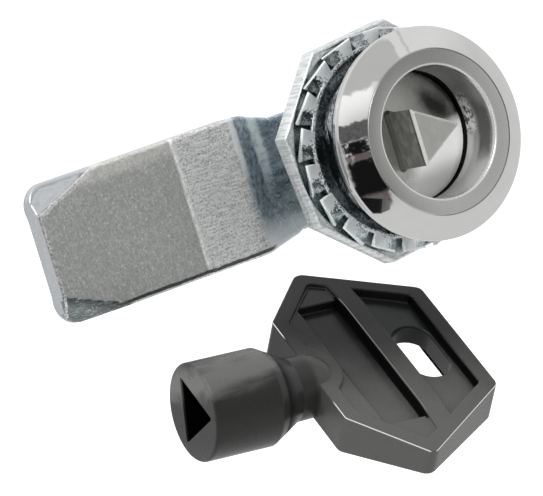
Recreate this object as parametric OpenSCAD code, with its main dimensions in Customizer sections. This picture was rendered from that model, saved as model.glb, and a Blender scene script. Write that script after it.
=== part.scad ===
// Quarter-turn cabinet lock with a triangular drive, and the moulded key that turns it.
// The origin is on the lock's axis, in the plane where the gasket meets the panel.
// The head faces -Y, the barrel runs along +Y, and the cam points to -X when the lock is shut.

/* [Head] */
// Outside diameter of the flange
flange_d = 28; // [26:0.5:32]
// Height of the cylindrical band round the flange
band_h = 1.65; // [1.2:0.05:3]
// Height of the bevel in front of the band
bevel_h = 2.05; // [1:0.05:3]
// Diameter where the bevel meets the flat front ring
front_ring_d = 21.6; // [20.5:0.1:24]
// Bore of the recess that the key enters
recess_d = 17.3; // [16.5:0.1:18]
// Depth of the recess, from the front ring to the rotor's floor
recess_depth = 7.5; // [5.5:0.1:8.5]
// Chamfer round the recess mouth and round the flange's rear edge
head_chamfer = 0.25; // [0.1:0.05:0.4]

/* [Gasket] */
// Thickness of the gasket behind the flange
seal_t = 0.8; // [0.5:0.1:1.5]
// How far the gasket's edge lies inside the flange's edge
seal_inset = 0.45; // [0.2:0.05:1]

/* [Barrel] */
// Diameter over the barrel's thread
barrel_d = 22; // [21:0.1:23]
// Distance across the two flats of the barrel
barrel_flats = 20; // [19.6:0.1:20.6]
// Length of the barrel behind the panel's front face
barrel_l = 18; // [16:0.5:24]
// Chamfer at the barrel's rear end
barrel_chamfer = 0.8; // [0.4:0.1:1.2]
// Pitch of the barrel's thread
thread_pitch = 1.5; // [1:0.25:2]
// Depth of the barrel's thread
thread_depth = 0.8; // [0.4:0.05:0.95]
// Distance from the panel's front face to the start of the thread
thread_at = 1; // [0.4:0.1:2]

/* [Nut] */
// Distance from the panel's front face to the nut, with the nut backed off
nut_at = 7.2; // [5:0.1:7.6]
// Distance across the nut's flats
nut_flats = 29.6; // [28:0.1:32]
// Number of sides of the nut
nut_sides = 8; // [6:2:12]
// Thickness of the nut
nut_t = 3; // [2:0.1:3.4]
// Angle at which one corner of the nut stands
nut_turned = 28; // [0:1:45]
// Radial clearance between the nut's bore and the thread's crests
nut_clearance = 0.06; // [0.03:0.01:0.1]

/* [Toothed washer] */
// Number of twisted teeth
tooth_count = 19; // [16:1:20]
// Angle at which one tooth stands
tooth_turned = 15; // [0:1:22]
// Radius to the middle of a tooth's outer edge
tooth_tip_r = 14.7; // [14:0.1:15.2]
// Width of a tooth at its outer edge
tooth_tip_w = 4.6; // [3:0.1:4.8]
// Width of a tooth where it leaves the ring
tooth_root_w = 3; // [2:0.1:3.2]
// Angle by which each tooth is twisted out of the ring's plane
tooth_twist = 21; // [15:1:28]
// Thickness of the spring steel
tooth_t = 0.6; // [0.5:0.05:1]
// Outer radius of the flat ring that carries the teeth
tooth_ring_r = 13; // [12.6:0.1:13.4]
// Radial clearance between the washer and the thread
tooth_washer_clearance = 0.25; // [0.15:0.05:0.6]

/* [Rotor] */
// Radial gap between the rotor's floor disc and the recess
floor_gap = 0.35; // [0.2:0.05:0.5]
// Thickness of the rotor's floor disc
floor_t = 3.95; // [3:0.05:4.5]
// Side of the triangular drive
triangle_side = 7.6; // [7:0.1:8]
// Height of the triangular drive above the floor
triangle_h = 6; // [4.5:0.1:7]
// Chamfer round the tip of the drive
triangle_chamfer = 0.4; // [0.2:0.05:0.7]
// How much wider the foot of the drive is on each side
foot_flare = 0.6; // [0.3:0.05:0.9]
// Height of the flared foot
foot_h = 0.9; // [0.5:0.05:1.4]
// Radius of the spindle that passes through the housing
spindle_r = 6; // [5.7:0.05:6.4]
// Side of the square that drives the cam
square_side = 8; // [7:0.1:8]
// Clearance between pieces that turn against each other
run_gap = 0.05; // [0.03:0.01:0.09]

/* [O-ring] */
// Cross-section diameter of the O-ring
ring_section = 1.1; // [0.8:0.1:1.5]
// Distance from the rotor's shoulder to the O-ring groove
ring_at = 3; // [2:0.1:4]

/* [Stop plate] */
// Thickness of the stop plate
stop_t = 1.4; // [1:0.1:2]
// Radius of the stop plate's disc
stop_disc_r = 7.2; // [6.8:0.1:7.6]
// Radius to the end of its stop tab
stop_tab_r = 8.8; // [8.4:0.05:9]
// Clearance beyond the end of the stop tab
stop_tab_gap = 0.2; // [0.1:0.05:0.3]
// Width of its stop tab
stop_tab_w = 4.4; // [3:0.1:5]
// Quarter turn from shut to open
turn_angle = 90; // [80:5:120]
// Play of the tab beyond the quarter turn, at each end
stop_play = 0.5; // [0.3:0.1:1]

/* [Cam] */
// Distance from the axis to the cam's tip
cam_reach = 50.5; // [38:0.5:70]
// Width of the blade
cam_w = 18.5; // [17.5:0.1:20]
// Thickness of the plate
cam_t = 3; // [2.5:0.1:3.5]
// Radius of the cam's round root end
root_r = 8; // [7.6:0.1:8.6]
// Width of the neck behind the crank
neck_w = 15; // [14:0.1:16]
// Distance from the axis where the neck starts to widen
neck_at = 10.5; // [9:0.1:11]
// Distance from the axis where the blade's full width starts
wide_at = 18; // [16:0.1:19]
// How far the blade is cranked forward of the root
crank = 5.1; // [4.4:0.1:5.4]
// Slope of the cranked stretch
crank_angle = 45; // [35:1:50]
// Radius of the hollow bend at the foot of the crank, on its front face
hollow_bend_r = 6; // [4:0.5:7]
// Radius of the sharp bend at the head of the crank, on its rear face
sharp_bend_r = 1; // [0.5:0.1:1.5]
// Distance from the axis where the root's flat ends
root_flat = 11.2; // [11.1:0.1:12]
// Rounding of the tip's corners
tip_r = 2.8; // [1:0.1:4]
// Distance from the axis to the coined step on the front face
step_at = 28.5; // [26:0.5:32]
// Depth of the coined step
step_h = 0.35; // [0.2:0.05:0.6]
// Length of the lead-in bevels along the blade
lead_l = 10; // [6:0.5:12]
// Reach of the lead-in bevels across the blade
lead_w = 4; // [2:0.1:5]
// Depth of the lead-in bevels at the corner
lead_depth = 1.7; // [1:0.1:2]
// Clearance of the square holes on the square, on each side
square_gap = 0.05; // [0.03:0.01:0.1]

/* [Cam fixing] */
// Diameter of the screw's thread
screw_d = 6; // [5:0.5:6]
// Length of the screw under its head
screw_l = 12; // [11:1:14]
// Chamfer at the screw's point
screw_point = 0.7; // [0.4:0.1:1]
// Distance across the flats of the screw's head
screw_flats = 10; // [9:0.5:10]
// Height of the screw's head
screw_head_h = 4; // [3.5:0.1:5]
// Diameter of the flat on top of the screw's head
screw_crown_d = 9.4; // [8:0.1:9.6]
// Height of the chamfer round the top of the head, at the corners
screw_crown_h = 0.6; // [0.4:0.1:1]
// Outside diameter of the plain washer
washer_d = 14; // [12:0.5:15]
// Thickness of the plain washer
washer_t = 1.2; // [0.8:0.1:2]
// Outside diameter of the split spring washer
spring_d = 10.6; // [10:0.1:11.8]
// Thickness of the split spring washer
spring_t = 1.5; // [1.2:0.1:2]
// Width of the split
spring_split = 0.8; // [0.5:0.1:1.5]
// Depth of the tapped hole beyond the screw's end
thread_runout = 1; // [0.5:0.1:2]
// Clearance of the washers and the tapped hole round the screw
screw_gap = 0.1; // [0.05:0.05:0.2]

/* [Key bow] */
// Distance across the two tips of the bow
bow_w = 36; // [32:0.5:40]
// Length of the bow along the stem
bow_l = 21.6; // [20:0.2:24]
// How far the tips lie towards the stem from the bow's middle
tip_shift = 2.7; // [0:0.1:4]
// Width of the flat side that carries the stem
stem_side_w = 19; // [17:0.2:22]
// Width of the flat side away from the stem
far_side_w = 19.6; // [17:0.2:22]
// Rounding of the bow's corners
bow_corner_r = 1.4; // [0.8:0.1:2.5]
// Thickness of the bow between its flat sides
bow_t = 5.5; // [5:0.1:6.5]
// Thickness of the bow at its tips
bow_tip_t = 3.7; // [3.4:0.1:5]
// Width of the rim round the pockets
rim_w = 2; // [1.6:0.1:2.4]
// Depth of the shallow shelf inside the rim
shelf_depth = 0.5; // [0.3:0.05:0.6]
// Depth of the trough beside the bar
trough_depth = 1.75; // [1:0.05:1.9]
// Length of the trough
trough_l = 23; // [18:0.5:25]
// Width of the trough
trough_w = 5.8; // [4:0.1:6]
// Distance from the bow's middle to the bar's edge on the stem's side
bar_edge = 0.3; // [-0.5:0.1:0.5]
// Width of the bar between the pockets
bar_w = 2.7; // [2:0.1:3.4]
// Depth of the pocket round the key-ring slot
ring_pocket_depth = 1.35; // [0.8:0.05:1.7]
// Length of the key-ring slot
slot_l = 9.7; // [7:0.1:11]
// Width of the key-ring slot
slot_w = 5.2; // [4.5:0.1:5.4]
// Radius of the collar round the stem's nose
collar_r = 5; // [4.6:0.1:5.4]
// How far the collar's middle lies beyond the bow's edge
collar_out = 0.7; // [0:0.1:1]

/* [Key stem and socket] */
// Radius of the stem
stem_r = 4; // [3.6:0.1:4.4]
// Outside diameter of the socket
socket_d = 12.4; // [12:0.1:14]
// Distance from the bow's middle to the socket's open end
socket_end = 26.3; // [25:0.1:30]
// Length of the socket's cylinder
socket_l = 10; // [9:0.1:12]
// Length of the cone between the socket and the stem
cone_l = 3.2; // [2:0.1:4]
// Depth of the triangular hole
hole_depth = 8; // [6.5:0.1:9]
// Clearance of the triangular hole round the drive, on each side
hole_gap = 0.26; // [0.15:0.01:0.3]
// Rounding of the socket's open end
socket_round = 0.4; // [0.2:0.1:0.8]

/* [Key place] */
// Where the key's bow lies beside the lock
key_at = [-29.8, -22.2, -23.6]; // [-60:0.1:60]
// How the key lies: turned about X, then Y, then Z
key_turn = [-41, -6.4, 175.8]; // [-180:0.1:180]

/* [Hidden] */
$fn = 96;
eps = 0.01;
far = 100;

// Stations along the axis, positive towards the front
z_back = seal_t;
z_band = z_back + band_h;
z_front = z_band + bevel_h;
z_floor = z_front - recess_depth;
z_ledge = z_floor - floor_t - run_gap;
z_end = -barrel_l;
z_stop = z_end + stop_t;
z_shoulder = z_stop - run_gap;
z_root = z_shoulder - stop_t;
z_clamp = z_root - cam_t;
z_spring = z_clamp - washer_t;
z_head = z_spring - spring_t;
z_nut = -nut_at;
z_ring = z_ledge - ring_at - ring_section / 2;
tooth_rise = tooth_tip_w * sin(tooth_twist) / 2 + tooth_t * cos(tooth_twist) / 2;
z_teeth = z_nut + run_gap + tooth_rise;
z_blade = z_root + crank;

// Radii and clearances that follow from the fits
recess_r = recess_d / 2;
barrel_r = barrel_d / 2;
spindle_bore_r = spindle_r + run_gap;
groove_r = spindle_r - ring_section;
square_w = square_side + 2 * square_gap;
thread_turns = floor((barrel_l - barrel_chamfer - thread_at) / thread_pitch);
thread_crest = thread_pitch / 8;
// Half the angle that the stop tab takes up at the disc's edge
tab_half = asin(stop_tab_w / 2 / stop_disc_r) + stop_play;
tapped_r = screw_d / 2 + screw_gap / 2;
tapped_depth = screw_l - washer_t - spring_t + thread_runout;

// The triangle's corners lie this far from its middle, before they are blunted
triangle_r = triangle_side / sqrt(3);
triangle_blunt = 0.94;
hole_r = triangle_r + 2 * hole_gap;

// The crank is two arcs joined by a straight slope
front_bend_r = sharp_bend_r + cam_t;
slope_l = (crank - (hollow_bend_r + front_bend_r) * (1 - cos(crank_angle))) / sin(crank_angle);
crank_run = (hollow_bend_r + front_bend_r) * sin(crank_angle) + slope_l * cos(crank_angle);
blade_from = root_flat + crank_run;

// The key's main lines, from the middle of the bow
ring_pocket_edge = bar_edge - bar_w;
slot_middle = (ring_pocket_edge - bow_l / 2 + rim_w) / 2;

// Points along an arc about a centre
function arc(c, r, from, to, n = 8) =
    [for (i = [0:n]) let (a = from + (to - from) * i / n) c + r * [cos(a), sin(a)]];

function unit(v) = v / norm(v);

// An outline moved inwards by a width
function inset(p, w) = [for (i = [0:len(p) - 1])
    let (
        a = unit(p[(i + len(p) - 1) % len(p)] - p[i]),
        b = unit(p[(i + 1) % len(p)] - p[i])
    )
    p[i] + unit(a + b) * w / sin(acos(a * b) / 2)];

// An outline whose corners are rounded by arcs; its points run counter-clockwise
function rounded(p, r, n = 6) = [for (i = [0:len(p) - 1])
    let (
        a = unit(p[(i + len(p) - 1) % len(p)] - p[i]),
        b = unit(p[(i + 1) % len(p)] - p[i]),
        half = acos(a * b) / 2,
        c = p[i] + unit(a + b) * r / sin(half),
        to_a = p[i] + a * r / tan(half) - c,
        from = atan2(to_a[1], to_a[0])
    )
    each arc(c, r, from, from + 180 - 2 * half, n)];

// Turns the lock's own frame, whose Z runs to the front, into the part's frame
module on_axis() rotate([90, 0, 0]) children();

module at_z(z) translate([0, 0, z]) children();

module ring(r_out, r_in, h) difference() {
    cylinder(r = r_out, h = h);
    at_z(-eps) cylinder(r = r_in, h = h + 2 * eps);
}

// A triangle with one corner at +X, its corners cut straight by a larger one turned about
module blunt_triangle(r) intersection() {
    circle(r = r, $fn = 3);
    rotate(180) circle(r = 2 * r * triangle_blunt, $fn = 3);
}

module square_hole(h) at_z(-eps) linear_extrude(h + 2 * eps) square(square_w, center = true);

// The sector that the stop tab sweeps through
module tab_sweep() intersection() {
    circle(r = stop_tab_r + stop_tab_gap);
    polygon(concat([[0, 0]], [for (i = [0:3])
        let (a = -tab_half + i * (turn_angle + 2 * tab_half) / 3) far * [cos(a), sin(a)]]));
}

// One groove of the thread in the barrel's profile, from its front edge to its rear edge
function thread_groove(z) = [
    [barrel_r, z - thread_crest / 2],
    [barrel_r - thread_depth, z - thread_pitch / 2],
    [barrel_r, z - thread_pitch + thread_crest / 2]
];

// Die-cast head and barrel in one piece: turned profile with a thread, two flats, a stop pocket
module housing() color([0.86, 0.87, 0.88]) on_axis() difference() {
    rotate_extrude() polygon(concat(
        [
            [recess_r + head_chamfer, z_front],
            [front_ring_d / 2, z_front],
            [flange_d / 2, z_band],
            [flange_d / 2, z_back + head_chamfer],
            [flange_d / 2 - head_chamfer, z_back],
            [barrel_r, z_back]
        ],
        [for (i = [0:thread_turns - 1]) each thread_groove(-thread_at - i * thread_pitch)],
        [
            [barrel_r, z_end + barrel_chamfer],
            [barrel_r - barrel_chamfer, z_end],
            [spindle_bore_r, z_end],
            [spindle_bore_r, z_ledge],
            [recess_r, z_ledge],
            [recess_r, z_front - head_chamfer]
        ]
    ));
    for (side = [0, 180]) rotate([0, 0, side])
        translate([barrel_flats / 2, -far / 2, z_end - eps])
            cube([far, far, barrel_l + z_back + eps]);
    at_z(z_end - eps) cylinder(r = stop_disc_r + run_gap, h = stop_t + eps);
    at_z(z_end - eps) linear_extrude(stop_t + eps) tab_sweep();
}

// Black rubber gasket, flat against the flange's rear face
module flange_seal() color([0.08, 0.08, 0.08]) on_axis()
    ring(flange_d / 2 - seal_inset, barrel_r + run_gap, seal_t);

// The turning insert: triangular drive, floor disc, spindle with its ring groove, and square
module rotor() color([0.66, 0.66, 0.64]) on_axis() difference() {
    union() {
        at_z(z_floor) linear_extrude(triangle_h - triangle_chamfer) blunt_triangle(triangle_r);
        at_z(z_floor + triangle_h - triangle_chamfer)
            linear_extrude(triangle_chamfer, scale = 1 - 2 * triangle_chamfer / triangle_r)
                blunt_triangle(triangle_r);
        at_z(z_floor) linear_extrude(foot_h, scale = triangle_r / (triangle_r + 2 * foot_flare))
            blunt_triangle(triangle_r + 2 * foot_flare);
        at_z(z_floor - floor_t) cylinder(r = recess_r - floor_gap, h = floor_t);
        rotate_extrude() polygon([
            [0, z_floor - floor_t + eps],
            [spindle_r, z_floor - floor_t + eps],
            [spindle_r, z_ring + ring_section / 2],
            [groove_r, z_ring + ring_section / 2],
            [groove_r, z_ring - ring_section / 2],
            [spindle_r, z_ring - ring_section / 2],
            [spindle_r, z_shoulder],
            [0, z_shoulder]
        ]);
        at_z(z_clamp + 2 * run_gap) linear_extrude(z_shoulder - z_clamp - run_gap)
            square(square_side, center = true);
    }
    at_z(z_clamp - eps) cylinder(r = tapped_r, h = tapped_depth + eps);
}

// Rubber O-ring that seals the spindle in the housing
module rotor_o_ring() color([0.06, 0.06, 0.06]) on_axis() at_z(z_ring)
    rotate_extrude() translate([groove_r + ring_section / 2, 0]) circle(d = ring_section);

// Stop plate on the square; its tab turns in the housing's pocket and ends the quarter turn
module stop_plate() color([0.72, 0.74, 0.76]) on_axis() at_z(z_root) difference() {
    union() {
        cylinder(r = stop_disc_r, h = stop_t);
        linear_extrude(stop_t) intersection() {
            circle(r = stop_tab_r);
            translate([0, -stop_tab_w / 2]) square([far, stop_tab_w]);
        }
    }
    square_hole(stop_t);
}

// The cam seen edge on: front face and rear face are the same two bends, a thickness apart
module cam_profile() {
    a = crank_angle;
    blade_c = [-blade_from, z_blade - front_bend_r];
    hollow_c = [-root_flat, z_root + hollow_bend_r];
    polygon(concat(
        [[root_r, z_root - cam_t], [root_r, z_root]],
        arc(hollow_c, hollow_bend_r, -90, -90 - a, 12),
        arc(blade_c, front_bend_r, 90 - a, 90, 12),
        [[-cam_reach, z_blade], [-cam_reach, z_blade - cam_t]],
        arc(blade_c, sharp_bend_r, 90, 90 - a, 8),
        arc(hollow_c, hollow_bend_r + cam_t, -90 - a, -90, 12)
    ));
}

// The cam seen from the front: a round root, a neck that widens into the crank, and the blade
module cam_outline() {
    circle(r = root_r);
    polygon([
        [0, neck_w / 2], [-neck_at, neck_w / 2], [-wide_at, cam_w / 2],
        [-wide_at, -cam_w / 2], [-neck_at, -neck_w / 2], [0, -neck_w / 2]
    ]);
    translate([-cam_reach + tip_r, -cam_w / 2]) square([cam_reach - tip_r - wide_at, cam_w]);
    translate([-cam_reach, -cam_w / 2 + tip_r]) square([tip_r + eps, cam_w - 2 * tip_r]);
    for (side = [-1, 1]) translate([-cam_reach + tip_r, side * (cam_w / 2 - tip_r)]) circle(r = tip_r);
}

// Cranked latch plate, punched with a square hole, coined with a step and two lead-in bevels
module cam() color([0.70, 0.72, 0.74]) on_axis() {
    z_face = z_blade - step_h;
    corner_to_edge = lead_l * lead_w / norm([lead_l, lead_w]);
    difference() {
        intersection() {
            rotate([90, 0, 0]) linear_extrude(cam_w + 2, center = true) cam_profile();
            at_z(z_clamp - 1) linear_extrude(z_blade - z_clamp + 2) cam_outline();
        }
        translate([-far - step_at, -far / 2, z_face]) cube([far, far, far]);
        for (side = [0, 1]) mirror([0, side, 0])
            translate([-cam_reach, cam_w / 2 - lead_w, z_face])
                rotate([0, 0, atan2(lead_w, lead_l)])
                    rotate([-atan2(lead_depth, corner_to_edge), 0, 0])
                        translate([-far / 2, 0, 0]) cube([far, far, far]);
        at_z(z_clamp) square_hole(cam_t);
    }
}

// Plain washer behind the cam
module cam_washer() color([0.74, 0.75, 0.77]) on_axis()
    at_z(z_spring) ring(washer_d / 2, screw_d / 2 + screw_gap, washer_t);

// Split spring washer under the screw's head
module spring_washer() color([0.62, 0.63, 0.65]) on_axis() at_z(z_head) difference() {
    ring(spring_d / 2, screw_d / 2 + screw_gap, spring_t);
    rotate([0, 0, 60]) translate([0, -spring_split / 2, -eps]) cube([far, spring_split, spring_t + 2 * eps]);
}

// Hexagon-head screw that holds the cam on the square
module cam_screw() color([0.72, 0.73, 0.75]) on_axis() at_z(z_head) {
    head_r = screw_flats / 2 / cos(30);
    shank_r = (screw_d - screw_gap) / 2;
    rotate_extrude() polygon([
        [0, -screw_head_h / 2],
        [shank_r, -screw_head_h / 2],
        [shank_r, screw_l - screw_point],
        [shank_r - screw_point, screw_l],
        [0, screw_l]
    ]);
    at_z(-screw_head_h) intersection() {
        cylinder(r = head_r, h = screw_head_h, $fn = 6);
        rotate_extrude() polygon([
            [0, 0], [screw_crown_d / 2, 0], [head_r, screw_crown_h],
            [head_r, screw_head_h], [0, screw_head_h]
        ]);
    }
}

// Spring-steel washer whose teeth are each twisted like a propeller's blades
module tooth_washer() color([0.76, 0.78, 0.80]) on_axis() at_z(z_teeth) {
    root = (tooth_ring_r + barrel_r + tooth_washer_clearance) / 2;
    at_z(-tooth_t / 2) ring(tooth_ring_r, barrel_r + tooth_washer_clearance, tooth_t);
    for (i = [0:tooth_count - 1]) rotate([0, 0, tooth_turned + i * 360 / tooth_count])
        translate([root, 0, 0]) rotate([-tooth_twist, 0, 0])
            linear_extrude(tooth_t, center = true) polygon([
                [0, -tooth_root_w / 2], [tooth_tip_r - root, -tooth_tip_w / 2],
                [tooth_tip_r - root, tooth_tip_w / 2], [0, tooth_root_w / 2]
            ]);
}

// Eight-sided nut punched from plate
module octagon_nut() color([0.72, 0.74, 0.76]) on_axis() at_z(z_nut - nut_t) difference() {
    rotate([0, 0, nut_turned])
        cylinder(r = nut_flats / 2 / cos(180 / nut_sides), h = nut_t, $fn = nut_sides);
    at_z(-eps) cylinder(r = barrel_r + nut_clearance, h = nut_t + 2 * eps);
}

// The bow's six corners, counter-clockwise from the stem's side
bow_corners = [
    [bow_l / 2, stem_side_w / 2], [tip_shift, bow_w / 2], [-bow_l / 2, far_side_w / 2],
    [-bow_l / 2, -far_side_w / 2], [tip_shift, -bow_w / 2], [bow_l / 2, -stem_side_w / 2]
];
pocket_corners = inset(bow_corners, rim_w);

// The bow seen from the side of its stem: flat in the middle, thinner towards the tips
module bow_section(lower = 0) {
    flat = stem_side_w / 2;
    drop = (bow_t - bow_tip_t) / 2;
    polygon([
        [-bow_w / 2, -bow_t / 2 + drop + lower], [-flat, -bow_t / 2 + lower],
        [flat, -bow_t / 2 + lower], [bow_w / 2, -bow_t / 2 + drop + lower],
        [bow_w / 2, bow_t / 2 - drop - lower], [flat, bow_t / 2 - lower],
        [-flat, bow_t / 2 - lower], [-bow_w / 2, bow_t / 2 - drop - lower]
    ]);
}

// All of the bow's thickness less an even layer from both of its faces
module bow_core(lower) rotate([90, 0, 90])
    linear_extrude(bow_l + 2, center = true) bow_section(lower);

// What a pocket of this outline and depth takes away from both faces
module pocket(depth) difference() {
    linear_extrude(bow_t + 2, center = true) children();
    bow_core(depth);
}

// The shelf's outline stops at the bar and goes round the stem's collar
module shelf_outline() difference() {
    intersection() {
        polygon(rounded(pocket_corners, bow_corner_r / 2));
        translate([bar_edge, -far / 2]) square([far, far]);
    }
    translate([bow_l / 2 + collar_out, 0]) circle(r = collar_r);
}

module ring_pocket_outline() intersection() {
    polygon(rounded(pocket_corners, bow_corner_r / 2));
    translate([ring_pocket_edge - far, -far / 2]) square([far, far]);
}

module trough_outline() translate([bar_edge, -trough_l / 2]) square([trough_w, trough_l]);

module slot_outline() {
    run = slot_l / 2 - slot_w / 2;
    translate([slot_middle, 0]) {
        square([slot_w, 2 * run], center = true);
        for (side = [-1, 1]) translate([0, side * run]) circle(d = slot_w);
    }
}

module key_bow() difference() {
    intersection() {
        linear_extrude(bow_t + 2, center = true) polygon(rounded(bow_corners, bow_corner_r));
        bow_core(0);
    }
    pocket(shelf_depth) shelf_outline();
    pocket(trough_depth) difference() {
        trough_outline();
        translate([bow_l / 2 + collar_out, 0]) circle(r = collar_r);
    }
    pocket(ring_pocket_depth) ring_pocket_outline();
    linear_extrude(bow_t + 2, center = true) slot_outline();
}

// The stem with its round nose in the bow, the cone and the socket, turned about X
module key_stem() {
    x_cone = socket_end - socket_l - cone_l;
    translate([bow_l / 2, 0, 0]) sphere(r = stem_r);
    rotate([0, 90, 0]) rotate_extrude() polygon(concat(
        [[0, bow_l / 2], [stem_r, bow_l / 2], [stem_r, x_cone],
            [socket_d / 2, socket_end - socket_l]],
        arc([socket_d / 2 - socket_round, socket_end - socket_round], socket_round, 0, 90, 4),
        [[0, socket_end]]
    ));
}

// Moulded plastic key: hexagonal bow with pockets on both faces, and a triangular socket
module key() color([0.13, 0.13, 0.13]) translate(key_at) rotate(key_turn) difference() {
    union() {
        key_bow();
        key_stem();
    }
    translate([socket_end - hole_depth, 0, 0]) rotate([0, 90, 0])
        linear_extrude(hole_depth + eps) blunt_triangle(hole_r);
}

housing();
flange_seal();
rotor();
rotor_o_ring();
stop_plate();
cam();
cam_washer();
spring_washer();
cam_screw();
tooth_washer();
octagon_nut();
key();
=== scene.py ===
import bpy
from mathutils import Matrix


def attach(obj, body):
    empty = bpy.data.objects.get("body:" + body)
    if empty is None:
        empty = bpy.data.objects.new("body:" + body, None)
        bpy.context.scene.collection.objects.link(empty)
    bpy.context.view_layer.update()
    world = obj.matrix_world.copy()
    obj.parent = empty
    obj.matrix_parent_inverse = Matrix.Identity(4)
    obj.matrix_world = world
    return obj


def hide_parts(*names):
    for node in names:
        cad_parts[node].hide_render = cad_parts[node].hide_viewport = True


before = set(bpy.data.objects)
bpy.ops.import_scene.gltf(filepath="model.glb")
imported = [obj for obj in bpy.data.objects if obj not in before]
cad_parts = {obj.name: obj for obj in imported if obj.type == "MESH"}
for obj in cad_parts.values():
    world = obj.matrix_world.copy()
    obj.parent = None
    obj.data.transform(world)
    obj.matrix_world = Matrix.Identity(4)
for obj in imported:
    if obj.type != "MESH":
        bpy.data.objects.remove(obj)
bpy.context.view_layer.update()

import math

import bmesh
import bpy
from mathutils import Matrix, Vector, noise

scene = bpy.context.scene
scene.view_settings.view_transform = "Standard"


# The view. A long lens stands to the left of the lock and a little above it, and is
# rolled by about 17 degrees, so the upright lock leans in the picture as photographed.
def in_scene(name, data):
    thing = bpy.data.objects.new(name, data)
    scene.collection.objects.link(thing)
    return thing


lens = bpy.data.cameras.new("long_lens")
lens.lens = 360
lens.sensor_width = 36
lens.clip_start = 0.05
lens.clip_end = 30
eye = in_scene("eye", lens)
eye.matrix_world = Matrix((
    (0.80796, 0.29599, -0.50950, -0.37868),
    (-0.51212, -0.07490, -0.85564, -0.59141),
    (-0.29142, 0.95225, 0.09106, 0.05577),
    (0, 0, 0, 1),
))
scene.camera = eye


# The studio. A white tent lit from above stands round the object; towards the camera it
# is open, so polished metal shows a grey room there, with the camera's dark stand in it.
# The camera itself sees plain white. One large soft lamp hangs above on the left.
class Socket:
    """One output of a node; sums of sockets and numbers add Math nodes."""

    def __init__(self, tree, plug):
        self.tree, self.plug = tree, plug

    def math(self, operation, *others):
        return self.tree.node("ShaderNodeMath", {"operation": operation},
                              dict(enumerate((self, *others))))

    def __add__(self, other):
        return self.math("ADD", other)

    def __sub__(self, other):
        return self.math("SUBTRACT", other)

    def __rsub__(self, other):
        return -self + other

    def __mul__(self, other):
        return self.math("MULTIPLY", other)

    def __truediv__(self, other):
        return self.math("DIVIDE", other)

    def __neg__(self):
        return self.math("MULTIPLY", -1)

    def __abs__(self):
        return self.math("ABSOLUTE")

    def least(self, other):
        return self.math("MINIMUM", other)

    def most(self, other):
        return self.math("MAXIMUM", other)

    def root(self):
        return self.math("SQRT")

    def rise(self, low, high):
        """0 below low, 1 above high, smooth between them; low may be the greater."""
        return self.tree.node("ShaderNodeMapRange", {"interpolation_type": "SMOOTHSTEP"},
                              {"Value": self, "From Min": low, "From Max": high})

    def blend(self, first, second):
        """The first colour where the socket is 0 and the second where it is 1."""
        return self.tree.node("ShaderNodeMix", {"data_type": "RGBA"},
                              {"Factor_Float": self, "A_Color": first, "B_Color": second},
                              out="Result_Color")

    __radd__, __rmul__ = __add__, __mul__


class Tree:
    """A node tree that is written as sums of sockets."""

    def __init__(self, nodes_owner):
        self.tree = nodes_owner
        self.tree.nodes.clear()

    def node(self, kind, settings=None, values=None, out=0):
        """A new node. Its settings are made before its sockets' values; out names its socket."""
        made = self.tree.nodes.new(kind)
        for name, setting in (settings or {}).items():
            setattr(made, name, setting)
        for name, value in (values or {}).items():
            plug = made.inputs[name] if isinstance(name, int) else next(
                p for p in made.inputs if name in (p.identifier, p.name) and p.enabled)
            if isinstance(value, Socket):
                self.tree.links.new(value.plug, plug)
            else:
                plug.default_value = value
        if out is None:
            return made
        return Socket(self, made.outputs[out] if isinstance(out, int) else next(
            p for p in made.outputs if out in (p.identifier, p.name) and p.enabled))

    def parts(self, vector):
        whole = self.node("ShaderNodeSeparateXYZ", values={0: vector})
        return [Socket(self, plug) for plug in whole.plug.node.outputs]


def grey(level):
    return (level, level, level, 1)


tent = bpy.data.worlds.new("tent")
scene.world = tent
tent.use_nodes = True
air = Tree(tent.node_tree)
way = air.node("ShaderNodeTexCoord", out="Generated")
way_x, way_y, way_z = air.parts(way)
toward = -way_y
roof = way_z.rise(0.25, 0.62)
low = way_z.rise(-0.30, -0.75)
room = toward.rise(0.62, 0.84) * (1 - roof) * (1 - low)

# What polished metal mirrors: a dark card above, a bright lamp face beside it, a thin strut.
blocks, specks = [
    air.node("ShaderNodeTexNoise", values={
        "Vector": way, "Scale": size, "Detail": detail, "Roughness": 0.6})
    for size, detail in ((9.0, 2.0), (26.0, 3.0))]
ragged = (blocks - 0.5) * 0.16
flag = ((way_z + ragged * 0.9).rise(0.64, 0.66) * toward.rise(0.35, 0.40)
        * (way_x - way_z * 0.2 + ragged * 0.4).rise(0.22, 0.20))
softbox = ((way_z + ragged * 0.4).rise(0.31, 0.33) * (way_z + ragged * 0.9).rise(0.64, 0.62)
           * (way_x - way_z * 0.9 + ragged * 0.3).rise(-0.64, -0.68) * toward.rise(0.42, 0.47))
strut = (abs(way_x - way_z * 0.2 + ragged * 0.3 - 0.34).rise(0.022, 0.008)
         * way_z.rise(0.60, 0.72))
level = (0.80 + roof * 0.18 + low * 0.02 - room * 0.40 - flag * 0.30 + softbox * 0.36
         - strut * 0.22)

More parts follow.
